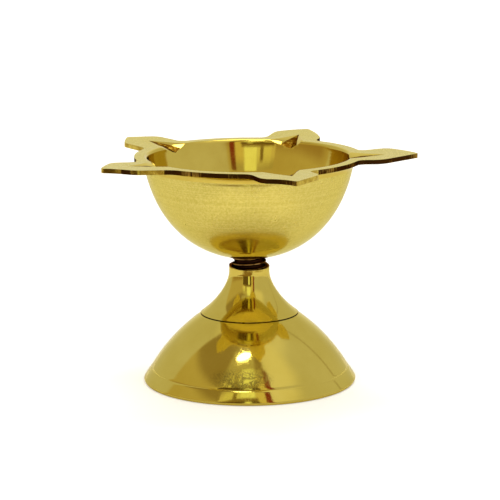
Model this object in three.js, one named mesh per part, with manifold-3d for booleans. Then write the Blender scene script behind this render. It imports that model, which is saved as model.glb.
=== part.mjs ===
// Brass oil lamp: a small round bowl with five wick spouts on its rim plate,
// screwed by a short threaded stud into a trumpet neck on a hollow bell foot.
// Millimetres, +Z up. The origin is on the surface the lamp stands on, under
// the middle of the star plate's bounding box.
import * as THREE from 'three';
import { mergeVertices } from 'three/addons/utils/BufferGeometryUtils.js';
import Module from 'manifold-3d';

const wasm = await Module();
wasm.setup();

// Foot: a bell of even wall with a thicker crown and a rounded band at its lip
const footRadius = 29.5;
const footRestRadius = 29.2;
const footRestWidth = 1.9;
const bandTopRadius = 27.5;
const bandTopHeight = 3.8;
const bandWidestHeight = 0.5;
const bandBulge = 0.2;
const bandGrooveDepth = 0.25;
const bandGrooveWidth = 0.5;
const bellBulge = 1.05;
const bellWall = 1.9;
const crownThickness = 3.2;

// Seam between foot and neck, a turned joint all round
const seamRadius = 13.5;
const seamHeight = 19;
const spigotRadius = 6.5;
const spigotLength = 4.2;
const spigotChamfer = 0.5;

// Neck: a trumpet whose slender end carries the threaded hole
const neckMouthRadius = 5.6;
const neckHeight = 13.3;
const neckStraight = 1.6;
const trumpetRootPull = 5.7;
const trumpetTipPull = 3.2;
const trumpetRootAngle = 35;
const mouthSlant = 4.5;
const mouthSlantBearing = -73;

// Stud: right-hand thread, fixed in the bowl and screwed into the neck
const threadRadius = 4.7;
const threadDepth = 0.6;
const threadPitch = 1.5;
const threadCrest = 0.24;
const threadFlankBase = 1.1;
const threadTurns = 6.6;
const studChamfer = 0.5;
const studGrip = 1.3;
const studShown = 1.85;

// Bowl
const rimRound = 0.9;
const bowlHeight = 28.5;
const bowlMouthRadius = 28.9;
const bowlMouthAngle = 81;
const bowlWaistPull = 16.3;
const bowlBottomPull = 16;
const bowlWall = 1.2;
const bowlFloor = 2.8;
const plateThickness = 1.25;
const plateOverhang = 2.4;
const filletHeight = 1.8;
const filletReach = 1.5;
const filletHollow = 0.35;

// Spouts: five spade-shaped lips that rise a little towards their points
const spoutCount = 5;
const spoutThinning = 0.1;
const spoutLength = 15;
const spoutTipBlunt = 0.4;
const spoutShoulderReach = 7.2;
const spoutShoulderHalf = 8.4;
const spoutShoulderRound = 3;
const spoutRootHalf = 7.5;
const spoutRootFillet = 2.5;
const spoutRootInset = 0.3;
const spoutRise = 0.8;

// Wick notch: a filed V that widens and dips from the spout into the bowl
const notchLength = 5.8;
const notchBendInset = 0.5;
const notchOverrun = 3.2;
const notchSpread = 0.53;
const notchBendDepth = 0.85;
const notchRimDepth = 2.1;

// Fits and facets
const clearance = 0.3;
const latheSegments = 60;
const studSegments = 18;
const curveSteps = 8;
const bowlSteps = 12;
const rimSteps = 3;
const spoutSteps = 4;
const overcut = 1;

// Levels worked out from the sizes above
const neckMouthHeight = seamHeight + neckHeight;
const mouthDrop = neckMouthRadius * Math.tan(THREE.MathUtils.degToRad(mouthSlant));
const bowlBottom = neckMouthHeight + mouthDrop + studShown;
const rimHeight = bowlBottom + bowlHeight;
const plateBottom = rimHeight - plateThickness;
const neckBase = seamHeight + clearance / 2;
const crownTop = seamHeight - clearance / 2;
const boreRadius = threadRadius + clearance;
const coreRadius = threadRadius - threadDepth;
const studTop = bowlBottom + studGrip;
const threadTop = bowlBottom - clearance;
const studBottom = threadTop - threadPitch * threadTurns - studChamfer;
const innerMouthRadius = bowlMouthRadius - bowlWall;
const plateRadius = bowlMouthRadius + plateOverhang;
const spoutTip = plateRadius + spoutLength;
const lampAxisX = -spoutTip * (1 - Math.cos(Math.PI / spoutCount)) / 2;

function point(radius, height) {
  return new THREE.Vector2(radius, height);
}

// Points on the arc from one point to another that swells to the left by bulge
function arc(from, to, bulge, steps) {
  const chord = to.clone().sub(from);
  const left = point(-chord.y, chord.x).normalize();
  const radius = chord.length() ** 2 / (8 * bulge) + bulge / 2;
  const centre = from.clone().add(to).multiplyScalar(0.5).addScaledVector(left, bulge - radius);
  const sweep = 2 * Math.asin(chord.length() / (2 * radius));
  const points = [];
  for (let i = 0; i <= steps; i += 1) {
    points.push(from.clone().rotateAround(centre, -sweep * i / steps));
  }
  return points;
}

// Points on a curve that leaves one end and reaches the other at given angles
function sweepCurve(from, fromAngle, fromPull, to, toAngle, toPull, steps) {
  const a = THREE.MathUtils.degToRad(fromAngle);
  const b = THREE.MathUtils.degToRad(toAngle);
  const leave = point(from.x + fromPull * Math.cos(a), from.y + fromPull * Math.sin(a));
  const reach = point(to.x - toPull * Math.cos(b), to.y - toPull * Math.sin(b));
  return new THREE.CubicBezierCurve(from, leave, reach, to).getPoints(steps);
}

// The point at a given height on a row of points that climbs
function pointAt(points, height) {
  const above = points.findIndex((p) => p.y > height);
  const [a, b] = [points[above - 1], points[above]];
  return a.clone().lerp(b, (height - a.y) / (b.y - a.y));
}

function turned(profile) {
  return new THREE.LatheGeometry(profile, latheSegments).rotateX(Math.PI / 2);
}

// A closed skin over a row of rings with equal numbers of points, each ring
// anticlockwise as seen from the ring after it
function loft(rings) {
  const count = rings[0].length;
  const index = [];
  for (let r = 0; r < rings.length - 1; r += 1) {
    for (let i = 0; i < count; i += 1) {
      const j = (i + 1) % count;
      const [a, b] = [r * count + i, r * count + j];
      index.push(a, b, b + count, a, b + count, a + count);
    }
  }
  const last = (rings.length - 1) * count;
  for (let i = 1; i < count - 1; i += 1) {
    index.push(0, i + 1, i, last, last + i, last + i + 1);
  }
  const skin = new THREE.BufferGeometry().setFromPoints(rings.flat());
  return skin.setIndex(index);
}

function solid(geometry) {
  const bare = geometry.clone();
  bare.deleteAttribute('normal');
  bare.deleteAttribute('uv');
  const merged = mergeVertices(bare, 1e-4);
  const corners = merged.index.array;
  const triVerts = [];
  for (let i = 0; i < corners.length; i += 3) {
    const [a, b, c] = corners.slice(i, i + 3);
    if (a !== b && b !== c && c !== a) {
      triVerts.push(a, b, c);
    }
  }
  return new wasm.Manifold(new wasm.Mesh({
    numProp: 3,
    vertProperties: Float32Array.from(merged.attributes.position.array),
    triVerts: Uint32Array.from(triVerts),
  }));
}

function geometryOf(body) {
  const { vertProperties, triVerts } = body.getMesh();
  const geometry = new THREE.BufferGeometry();
  geometry.setAttribute('position', new THREE.BufferAttribute(vertProperties, 3));
  geometry.setIndex(new THREE.BufferAttribute(triVerts, 1));
  geometry.computeVertexNormals();
  return geometry;
}

function piece(name, body, material) {
  const mesh = new THREE.Mesh(geometryOf(body), material);
  mesh.name = name;
  return mesh;
}

function brass(color, roughness) {
  return new THREE.MeshStandardMaterial({ color, roughness, metalness: 1 });
}

// The bell's outside from the crown down to the top of the band
function bellOutside() {
  return arc(point(seamRadius, crownTop), point(bandTopRadius, bandTopHeight), bellBulge, curveSteps);
}

function footProfile() {
  const outside = bellOutside();
  const grooveBottom = point(bandTopRadius - bandGrooveDepth, bandTopHeight);
  const bandTop = point(bandTopRadius, bandTopHeight - bandGrooveWidth / 2);
  const bandWidest = point(footRadius, bandWidestHeight);
  outside[outside.length - 1].y += bandGrooveWidth / 2;
  const insideTop = crownTop - crownThickness;
  const insideFoot = point(footRestRadius - footRestWidth, 0);
  const insideCrown = point(seamRadius - bellWall, insideTop);
  const holeRadius = spigotRadius + clearance;
  return [
    point(holeRadius, crownTop),
    point(holeRadius, insideTop),
    ...arc(insideCrown, insideFoot, bellBulge, curveSteps),
    point(footRestRadius, 0),
    ...arc(bandTop, bandWidest, bandBulge, rimSteps).reverse(),
    grooveBottom,
    ...outside.reverse(),
    point(holeRadius, crownTop),
  ];
}

function neckProfile() {
  const boreFloor = studBottom - clearance;
  const spigotEnd = neckBase - spigotLength;
  const shaftFoot = neckMouthHeight - neckStraight;
  const uncutTop = neckMouthHeight + mouthDrop;
  const trumpet = sweepCurve(
    point(seamRadius, neckBase), 180 - trumpetRootAngle, trumpetRootPull,
    point(neckMouthRadius, shaftFoot), 90, trumpetTipPull, curveSteps);
  return [
    point(0, spigotEnd),
    point(spigotRadius - spigotChamfer, spigotEnd),
    point(spigotRadius, spigotEnd + spigotChamfer),
    point(spigotRadius, neckBase),
    ...trumpet,
    point(neckMouthRadius, uncutTop),
    point(boreRadius, uncutTop),
    point(boreRadius, boreFloor),
    point(0, boreFloor),
  ];
}

// The mouth is filed at a slant, so a tilted block takes its top off
function neckBody() {
  const reach = 3 * neckMouthRadius;
  const file = new THREE.BoxGeometry(2 * reach, 2 * reach, reach).translate(0, 0, reach / 2);
  file.rotateY(THREE.MathUtils.degToRad(mouthSlant));
  file.rotateZ(THREE.MathUtils.degToRad(mouthSlantBearing));
  file.translate(0, 0, neckMouthHeight);
  return solid(turned(neckProfile())).subtract(solid(file));
}

function studProfile() {
  return [
    point(0, studBottom),
    point(coreRadius - studChamfer, studBottom),
    point(coreRadius, studBottom + studChamfer),
    point(coreRadius, studTop),
    point(0, studTop),
  ];
}

// One ring of the thread's ridge for each step along its helix
function threadRings() {
  const steps = Math.round(threadTurns * studSegments);
  const rings = [];
  for (let i = 0; i <= steps; i += 1) {
    const turn = i / studSegments;
    const angle = 2 * Math.PI * turn;
    const middle = studBottom + studChamfer + threadFlankBase / 2 + threadPitch * turn
      * (threadTurns - threadFlankBase / threadPitch) / threadTurns;
    const corner = (radius, rise) => new THREE.Vector3(
      radius * Math.cos(angle), radius * Math.sin(angle), middle + rise);
    rings.push([
      corner(coreRadius - clearance, -threadFlankBase / 2),
      corner(coreRadius - clearance, threadFlankBase / 2),
      corner(threadRadius, threadCrest / 2),
      corner(threadRadius, -threadCrest / 2),
    ]);
  }
  return rings;
}

function studBody() {
  const core = new THREE.LatheGeometry(studProfile(), studSegments).rotateX(Math.PI / 2);
  return solid(core).add(solid(loft(threadRings())));
}

function bowlProfile() {
  const socketRadius = coreRadius + clearance;
  const socketTop = studTop + clearance;
  const outside = sweepCurve(
    point(0, bowlBottom), 0, bowlBottomPull,
    point(bowlMouthRadius, plateBottom), bowlMouthAngle, bowlWaistPull, bowlSteps);
  const floorTop = bowlBottom + bowlFloor;
  const rimFoot = rimHeight - rimRound;
  const widthShare = innerMouthRadius / bowlMouthRadius;
  const heightShare = (rimFoot - floorTop) / (plateBottom - bowlBottom);
  const inside = sweepCurve(
    point(0, floorTop), 0, bowlBottomPull * widthShare,
    point(innerMouthRadius, rimFoot), bowlMouthAngle, bowlWaistPull * heightShare, bowlSteps);
  const rimTop = point(innerMouthRadius + rimRound, rimHeight);
  const rim = arc(inside.at(-1), rimTop, rimRound * (1 - Math.SQRT1_2), rimSteps);
  const filletFoot = pointAt(outside, plateBottom - filletHeight);
  const filletTop = point(bowlMouthRadius + filletReach, plateBottom);
  const wall = outside.filter((p) => p.x > socketRadius && p.y < filletFoot.y);
  return [
    point(0, socketTop),
    point(socketRadius, socketTop),
    point(socketRadius, bowlBottom),
    ...wall,
    ...arc(filletFoot, filletTop, filletHollow, rimSteps),
    point(plateRadius, plateBottom),
    point(plateRadius, rimHeight),
    ...rim.reverse(),
    ...inside.reverse().slice(1),
  ];
}

// The spade outline: corners in order, each rounded off by its own distance
function spoutShape() {
  const blunt = point(spoutTip + spoutTipBlunt, 0);
  const shoulder = point(plateRadius + spoutShoulderReach, spoutShoulderHalf);
  const noseHalfAngle = Math.atan2(shoulder.y, blunt.x - shoulder.x);
  const noseRound = 2 * spoutTipBlunt / Math.cos(noseHalfAngle);
  const rootReach = Math.sqrt(plateRadius ** 2 - spoutRootHalf ** 2);
  const plateAngle = Math.asin(spoutRootHalf / plateRadius) + spoutRootFillet / plateRadius;
  const plateSide = point(plateRadius - spoutRootInset, 0).rotateAround(point(0, 0), plateAngle);
  const half = [
    { at: plateSide.clone().subScalar(filletReach), round: 0 },
    { at: plateSide, round: 0 },
    { at: point(rootReach, spoutRootHalf), round: spoutRootFillet },
    { at: shoulder, round: spoutShoulderRound },
  ];
  const mirrored = half.map(({ at, round }) => ({ at: point(at.x, -at.y), round }));
  const corners = [...mirrored, { at: blunt, round: noseRound }, ...half.reverse()];
  const shape = new THREE.Shape();
  shape.moveTo(corners[0].at.x, corners[0].at.y);
  for (let i = 1; i < corners.length - 1; i += 1) {
    const { at, round } = corners[i];
    const [before, after] = [corners[i - 1].at, corners[i + 1].at];
    const from = at.clone().addScaledVector(before.clone().sub(at).normalize(), round);
    const to = at.clone().addScaledVector(after.clone().sub(at).normalize(), round);
    shape.lineTo(from.x, from.y);
    if (round > 0) {
      shape.quadraticCurveTo(at.x, at.y, to.x, to.y);
    }
  }
  shape.lineTo(corners.at(-1).at.x, corners.at(-1).at.y);
  return shape;
}

// Three V sections, widest at the bowl, that start as nothing on the spout
function notchRings() {
  const section = (reach, depth, slope) => [
    new THREE.Vector3(reach, 0, rimHeight - depth),
    new THREE.Vector3(reach, slope * (depth + overcut), rimHeight + overcut),
    new THREE.Vector3(reach, -slope * (depth + overcut), rimHeight + overcut),
  ];
  const start = plateRadius + notchLength;
  const bend = plateRadius - notchBendInset;
  const end = innerMouthRadius - notchOverrun;
  const depthSlope = (notchRimDepth - notchBendDepth) / (bend - innerMouthRadius);
  const endDepth = notchRimDepth + depthSlope * notchOverrun;
  const halfAt = (reach) => notchSpread * (start - reach);
  return [
    section(end, endDepth, halfAt(end) / endDepth),
    section(bend, notchBendDepth, halfAt(bend) / notchBendDepth),
    section(start, 0, halfAt(bend) / notchBendDepth),
  ];
}

// Turns a spout or its notch up about the plate's edge and swings it to its place
function placed(geometry, number) {
  const risen = geometry.clone().translate(-plateRadius, 0, -rimHeight);
  risen.rotateY(-Math.atan(spoutRise / (spoutTip - plateRadius)));
  risen.translate(plateRadius, 0, rimHeight);
  return solid(risen.rotateZ(2 * Math.PI * number / spoutCount));
}

function bowlBody() {
  const spoutThickness = plateThickness - spoutThinning;
  const thickness = { depth: spoutThickness, bevelEnabled: false, curveSegments: spoutSteps };
  const spout = new THREE.ExtrudeGeometry(spoutShape(), thickness);
  spout.translate(0, 0, rimHeight - spoutThickness);
  const notch = loft(notchRings());
  let body = solid(turned(bowlProfile()));
  for (let i = 0; i < spoutCount; i += 1) {
    body = body.add(placed(spout, i));
  }
  for (let i = 0; i < spoutCount; i += 1) {
    body = body.subtract(placed(notch, i));
  }
  return body;
}

const lamp = new THREE.Group();
lamp.add(
  piece('stand_foot', solid(turned(footProfile())), brass(0xb9a048, 0.15)),
  piece('stand_neck', neckBody(), brass(0xb9a048, 0.18)),
  piece('screw_stud', studBody(), brass(0x4a3b22, 0.6)),
  piece('star_bowl', bowlBody(), brass(0xc9b863, 0.3)),
);
lamp.position.x = lampAxisX;

export default lamp;
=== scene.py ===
# Brass oil lamp with five wick spouts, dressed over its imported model.
import math

import bmesh
import bpy
from mathutils import Euler, Matrix, Vector


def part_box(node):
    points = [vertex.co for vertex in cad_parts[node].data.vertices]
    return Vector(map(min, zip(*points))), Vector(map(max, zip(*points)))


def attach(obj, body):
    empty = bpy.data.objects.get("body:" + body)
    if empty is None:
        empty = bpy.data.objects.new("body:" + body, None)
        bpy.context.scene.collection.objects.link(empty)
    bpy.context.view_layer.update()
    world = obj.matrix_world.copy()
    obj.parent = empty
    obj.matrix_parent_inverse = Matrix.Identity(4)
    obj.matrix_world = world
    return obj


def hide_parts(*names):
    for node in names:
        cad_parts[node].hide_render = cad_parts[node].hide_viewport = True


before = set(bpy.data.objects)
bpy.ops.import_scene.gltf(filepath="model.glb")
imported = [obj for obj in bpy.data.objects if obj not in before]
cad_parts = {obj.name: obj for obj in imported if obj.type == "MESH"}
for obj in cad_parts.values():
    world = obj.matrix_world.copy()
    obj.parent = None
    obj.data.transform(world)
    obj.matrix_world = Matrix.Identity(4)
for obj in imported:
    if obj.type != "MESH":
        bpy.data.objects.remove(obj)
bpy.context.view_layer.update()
mm = 0.001
perMetre = 1000  # millimetres in a metre, for the scale of patterns
near = 0.02  # mm: a face this close to a level counts as lying on it
footLow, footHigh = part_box("stand_foot")
axisX = (footLow[0] + footHigh[0]) / 2  # the lamp is turned about this upright line
print("frame loaded")


# Drawing in a plane: x is the distance from the axis, y the height, both in mm

def arcPoints(start, end, bulge, steps):  # an arc that swells to its left
    start, end = Vector(start), Vector(end)
    chord = end - start
    left = Vector((-chord.y, chord.x)).normalized()
    radius = chord.length ** 2 / (8 * bulge) + bulge / 2
    centre = (start + end) / 2 + left * (bulge - radius)
    sweep = 2 * math.asin(min(1, chord.length / (2 * radius)))
    points = []
    for i in range(steps + 1):
        turn = Matrix.Rotation(-sweep * i / steps, 2)
        points.append(centre + turn @ (start - centre))
    return points


def heading(degrees):
    return Vector((math.cos(math.radians(degrees)), math.sin(math.radians(degrees))))


def pulledCurve(start, startAngle, startPull, end, endAngle, endPull, steps):
    start, end = Vector(start), Vector(end)
    leave = start + startPull * heading(startAngle)
    reach = end - endPull * heading(endAngle)
    points = []
    for i in range(steps + 1):
        t = i / steps
        u = 1 - t
        points.append(u ** 3 * start + 3 * u * u * t * leave + 3 * u * t * t * reach + t ** 3 * end)
    return points


def roundCorner(before, corner, after, distance, steps=4):  # cut back by distance on both sides
    corner = Vector(corner)
    start = corner + (Vector(before) - corner).normalized() * distance
    end = corner + (Vector(after) - corner).normalized() * distance
    points = []
    for i in range(steps + 1):
        t = i / steps
        points.append((1 - t) ** 2 * start + 2 * t * (1 - t) * corner + t * t * end)
    return points


def straight(start, end, steps):
    return [Vector(start).lerp(Vector(end), i / steps) for i in range(steps + 1)]


def pointAtHeight(points, height):
    for low, high in zip(points, points[1:]):
        if low.y <= height < high.y:
            return low.lerp(high, (height - low.y) / (high.y - low.y))
    return points[-1]


# Modelling

def startPiece(name, place):  # one loose point to draw from
    bpy.ops.object.select_all(action="DESELECT")
    bpy.ops.mesh.primitive_plane_add(size=mm, location=(0, 0, 0))
    piece = bpy.context.object
    piece.name = name
    piece.data.name = name
    bpy.ops.object.mode_set(mode="EDIT")
    bpy.ops.mesh.select_mode(type="VERT")
    bpy.ops.mesh.select_all(action="SELECT")
    bpy.ops.mesh.merge(type="CENTER")
    bpy.ops.transform.translate(value=place)
    return piece


def drawOn(points):  # carries the line on from the selected point
    for here, there in zip(points, points[1:]):
        bpy.ops.mesh.extrude_vertices_move(TRANSFORM_OT_translate={"value": there - here})


def weld():
    bpy.ops.mesh.select_all(action="SELECT")
    bpy.ops.mesh.remove_doubles(threshold=0.002 * mm)
    bpy.ops.mesh.select_all(action="SELECT")
    bpy.ops.mesh.normals_make_consistent(inside=False)


def turnPiece(name, profile, steps):  # a profile spun round the lamp's axis
    points = []
    for p in profile:
        place = Vector((axisX + p.x * mm, 0, p.y * mm))
        if not points or (place - points[-1]).length > 0.003 * mm:
            points.append(place)
    piece = startPiece(name, points[0])
    drawOn(points)
    bpy.ops.mesh.select_all(action="SELECT")
    bpy.ops.mesh.spin(steps=steps, angle=2 * math.pi, center=(axisX, 0, 0), axis=(0, 0, 1))
    weld()
    bpy.ops.object.mode_set(mode="OBJECT")
    return piece


def selectOnly(piece):
    bpy.ops.object.select_all(action="DESELECT")
    piece.select_set(True)
    bpy.context.view_layer.objects.active = piece


def pickElements(piece, kind, wanted):  # in edit mode, selects what wanted says yes to
    bpy.ops.mesh.select_mode(type=kind)
    bpy.ops.mesh.select_all(action="DESELECT")
    mesh = bmesh.from_edit_mesh(piece.data)
    for element in {"VERT": mesh.verts, "EDGE": mesh.edges, "FACE": mesh.faces}[kind]:
        element.select_set(bool(wanted(element)))
    mesh.select_flush_mode()
    bmesh.update_edit_mesh(piece.data)


def paintFaces(piece, slot, wanted):  # in edit mode, gives those faces the finish in that slot
    pickElements(piece, "FACE", wanted)
    piece.active_material_index = slot
    bpy.ops.object.material_slot_assign()


def coatFaces(piece, slot, wanted):  # the same, from object mode
    selectOnly(piece)
    bpy.ops.object.mode_set(mode="EDIT")
    paintFaces(piece, slot, wanted)
    bpy.ops.object.mode_set(mode="OBJECT")


def cutWith(piece, cutter, operation):
    selectOnly(piece)
    modifier = piece.modifiers.new("cut", "BOOLEAN")
    modifier.operation = operation
    modifier.solver = "EXACT"
    modifier.material_mode = "TRANSFER"
    modifier.object = cutter
    bpy.ops.object.modifier_apply(modifier="cut")
    bpy.data.objects.remove(cutter)


def finishPiece(piece, body, node, crease=32):
    selectOnly(piece)
    bpy.ops.object.transform_apply(location=True, rotation=True, scale=True)
    bpy.ops.object.shade_smooth_by_angle(angle=math.radians(crease))
    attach(piece, body)
    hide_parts(node)
    print(piece.name, "made:", len(piece.data.polygons), "faces")


def radiusOf(place):
    return math.hypot(place.x - axisX, place.y) / mm


# Finishes

def linear(hexColour):  # sRGB hex to the linear colour that shaders take
    channels = [int(hexColour[i:i + 2], 16) / 255 for i in (1, 3, 5)]
    return (*[c / 12.92 if c <= 0.04045 else ((c + 0.055) / 1.055) ** 2.4 for c in channels], 1)


def addNode(tree, kind, inputs=None, **settings):
    node = tree.nodes.new(kind)
    for key, value in settings.items():
        setattr(node, key, value)
    for key, value in (inputs or {}).items():
        if isinstance(value, bpy.types.NodeSocket):
            tree.links.new(value, node.inputs[key])
        else:
            node.inputs[key].default_value = value
    return node


def newFinish(name):
    finish = bpy.data.materials.new(name)
    finish.use_nodes = True
    finish.node_tree.nodes.clear()
    return finish


def turnedCoordinates(tree):  # also distance from the axis and height, for a pattern that runs round
    place = addNode(tree, "ShaderNodeTexCoord").outputs["Object"]
    centred = addNode(tree, "ShaderNodeMapping", {"Vector": place, "Location": (-axisX, 0, 0)})
    parts = addNode(tree, "ShaderNodeSeparateXYZ", {0: centred.outputs[0]})
    flat = addNode(tree, "ShaderNodeCombineXYZ", {0: parts.outputs[0], 1: parts.outputs[1]})
    radius = addNode(tree, "ShaderNodeVectorMath", {0: flat.outputs[0]}, operation="LENGTH")
    rings = addNode(tree, "ShaderNodeCombineXYZ", {0: radius.outputs["Value"], 1: parts.outputs[2]})
    return place, rings.outputs[0]


def metalSurface(tree, look, inputs):  # bare metal, whose edges reflect in a tint of their own
    shader = addNode(tree, "ShaderNodeBsdfPrincipled", {
        **inputs, "Metallic": 1.0, "Specular Tint": linear(look["edgeTint"])})
    addNode(tree, "ShaderNodeOutputMaterial", {"Surface": shader.outputs[0]})


def handledRoughness(tree, look, place, rings):
    least, most = look["roughness"]
    smudge = addNode(tree, "ShaderNodeTexNoise", {
        "Vector": place, "Scale": perMetre / look["smudgeMm"], "Detail": 6, "Roughness": 0.7,
        "Distortion": 0.6})
    dull = addNode(tree, "ShaderNodeMapRange", {
        "Value": smudge.outputs[0], "From Min": 0.35, "From Max": 0.7, "To Min": least, "To Max": most})
    if "scratchMm" in look:  # wiping has left short fine scratches, which blur a bright reflection
        along = addNode(tree, "ShaderNodeMapping", {
            "Vector": place, "Rotation": (0.4, 0.7, 0.9), "Scale": (1, 1, 0.15)})
        hair = addNode(tree, "ShaderNodeTexNoise", {
            "Vector": along.outputs[0], "Scale": perMetre / look["scratchMm"], "Detail": 3,
            "Distortion": 0.4})
        blur = addNode(tree, "ShaderNodeMapRange", {
            "Value": hair.outputs[0], "From Min": 0.45, "From Max": 0.75, "To Max": look["scratchBlur"]})
        dull = addNode(tree, "ShaderNodeMath", {0: dull.outputs[0], 1: blur.outputs[0]}, operation="ADD")
    if "gleamHeight" in look:  # towards the bowl's bottom the buffing wheel has smoothed it
        height = addNode(tree, "ShaderNodeSeparateXYZ", {0: rings})
        low, high = look["gleamHeight"]
        dull = addNode(tree, "ShaderNodeMapRange", {
            "Value": height.outputs[1], "From Min": low * mm, "From Max": high * mm,
            "To Min": look["gleam"], "To Max": dull.outputs[0]})
    return dull.outputs[0]


def rubbedShare(tree, look, place):  # how much the cloth's swirls show at each point of the oval
    offset = addNode(tree, "ShaderNodeMapping", {
        "Vector": place, "Location": Vector(look["rubbedAt"]) * mm,
        "Scale": Vector(look["rubbedSize"]) * mm}, vector_type="TEXTURE")
    apart = addNode(tree, "ShaderNodeVectorMath", {0: offset.outputs[0]}, operation="LENGTH")
    inside = addNode(tree, "ShaderNodeMapRange", {
        "Value": apart.outputs["Value"], "From Min": 1.0, "From Max": 0.5, "To Max": 1.0})
    swirl = addNode(tree, "ShaderNodeTexNoise", {
        "Vector": place, "Scale": perMetre / look["swirlMm"], "Detail": 3, "Distortion": 4})
    share = addNode(tree, "ShaderNodeMapRange", {
        "Value": swirl.outputs[0], "From Min": 0.35, "From Max": 0.6})
    rubbed = addNode(tree, "ShaderNodeMath", {
        0: inside.outputs[0], 1: share.outputs[0]}, operation="MULTIPLY")
    return rubbed.outputs[0]


def brassFinish(name, look):
    finish = newFinish(name)
    tree = finish.node_tree
    place, rings = turnedCoordinates(tree)
    cloud = addNode(tree, "ShaderNodeTexNoise", {
        "Vector": place, "Scale": perMetre / look["cloudMm"], "Detail": 4, "Roughness": 0.6})
    tone = addNode(tree, "ShaderNodeValToRGB", {0: cloud.outputs[0]})
    for element, position, shade in zip(tone.color_ramp.elements, (0.36, 0.66), ("deep", "bright")):
        element.position = position
        element.color = linear(look[shade])
    colour = tone.outputs[0]
    dull = handledRoughness(tree, look, place, rings)
    if "rubbedAt" in look:
        rubbed = rubbedShare(tree, look, place)
        dull = addNode(tree, "ShaderNodeMath", {
            0: rubbed, 1: look["rubbedBlur"], 2: dull}, operation="MULTIPLY_ADD").outputs[0]
        colour = addNode(tree, "ShaderNodeMix", {
            0: rubbed, 6: colour, 7: linear(look["rubbedTone"])}, data_type="RGBA").outputs[2]
    lines = addNode(tree, "ShaderNodeTexNoise", {
        "Vector": rings, "Scale": perMetre / look["lineMm"], "Detail": 3, "Roughness": 0.6})
    ripple = addNode(tree, "ShaderNodeBump", {
        "Height": lines.outputs[0], "Strength": look["lineDepth"], "Distance": fineBump})
    grain = addNode(tree, "ShaderNodeTexNoise", {
        "Vector": place, "Scale": perMetre / look["grainMm"], "Detail": 3, "Roughness": 0.6,
        "Distortion": 0.3})
    pitted = addNode(tree, "ShaderNodeBump", {
        "Height": grain.outputs[0], "Strength": look["grainDepth"], "Distance": fineBump,
        "Normal": ripple.outputs[0]})
    if "paintedGlint" in look:  # painted highlight: fine bright glints on the lathe's rings are painted into the colour
        both = addNode(tree, "ShaderNodeMath", {
            0: lines.outputs[0], 1: 0.6, 2: grain.outputs[0]}, operation="MULTIPLY_ADD")
        paintedGlintShare = addNode(tree, "ShaderNodeMapRange", {
            "Value": both.outputs[0], "From Min": 0.66, "From Max": 0.96})
        colour = addNode(tree, "ShaderNodeMix", {
            0: paintedGlintShare.outputs[0], 6: colour, 7: linear(look["paintedGlint"])}, data_type="RGBA").outputs[2]
    metalSurface(tree, look, {"Base Color": colour, "Roughness": dull, "Normal": pitted.outputs[0]})
    return finish


fineBump = 0.05 * mm  # how far a bump of full strength stands out
coarseBump = 0.1 * mm

# The lathe's lines and the grain are under 0.2 mm apart on the real lamp, too fine to show: they are
# drawn 0.25 to 0.6 mm apart, and so are the scratches.

# Cast brass, turned and buffed to a mirror on the stand: clear reflections with faint turning lines
buffedLook = {
    "bright": "#d7c05a", "deep": "#d0b850", "edgeTint": "#f7f3d4", "roughness": (0.04, 0.09),
    "cloudMm": 14, "smudgeMm": 5, "scratchMm": 0.35, "scratchBlur": 0.1,
    "lineMm": 0.5, "lineDepth": 0.03, "grainMm": 0.35, "grainDepth": 0.02,
}
# Low on the foot's front a polishing cloth has rubbed an oval patch of it duller
footLook = {
    **buffedLook, "rubbedAt": (axisX / mm - 1.2, -26, 6.2), "rubbedSize": (9.5, 9, 3.1),
    "rubbedBlur": 0.2, "rubbedTone": "#93803a", "swirlMm": 2.2,
}
# The same brass left finely ringed by the lathe outside the bowl: a soft, satin gleam, with painted glints
# on its rings
satinLook = {
    "bright": "#d5c15f", "deep": "#cebb59", "edgeTint": "#f4f0cc", "paintedGlint": "#dfcd71",
    "roughness": (0.2, 0.3), "cloudMm": 18, "smudgeMm": 3, "gleamHeight": (38, 47), "gleam": 0.08,
    "lineMm": 0.4, "lineDepth": 0.08, "grainMm": 0.6, "grainDepth": 0.08,
}
# Polished again inside, where the oil stands: brighter, with a few smears
innerLook = {
    "bright": "#d8bf58", "deep": "#cfb44e", "edgeTint": "#f7f3d4", "roughness": (0.04, 0.1),
    "cloudMm": 12, "smudgeMm": 4,
    "lineMm": 0.5, "lineDepth": 0.06, "grainMm": 0.4, "grainDepth": 0.05,
}
# Sawn edges that were filed clean afterwards
filedLook = {
    "bright": "#d8c05c", "deep": "#a5852f", "edgeTint": "#f4eec4", "roughness": (0.16, 0.3),
    "cloudMm": 2.2, "smudgeMm": 1.5,
    "lineMm": 0.3, "lineDepth": 0.25, "grainMm": 0.25, "grainDepth": 0.25,
}

buffedBrass = brassFinish("buffedBrass", buffedLook)
rubbedBrass = brassFinish("rubbedBrass", footLook)
satinBrass = brassFinish("satinBrass", satinLook)
innerBrass = brassFinish("polishedInnerBrass", innerLook)
filedBrass = brassFinish("filedBrass", filedLook)

sawnLook = {
    "oxide": "#42270b", "worn": "#a5823a", "edgeTint": "#8a6a35", "toothMm": 0.4, "patchMm": 6,
    "bare": (0.9, 1.1),
}


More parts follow.
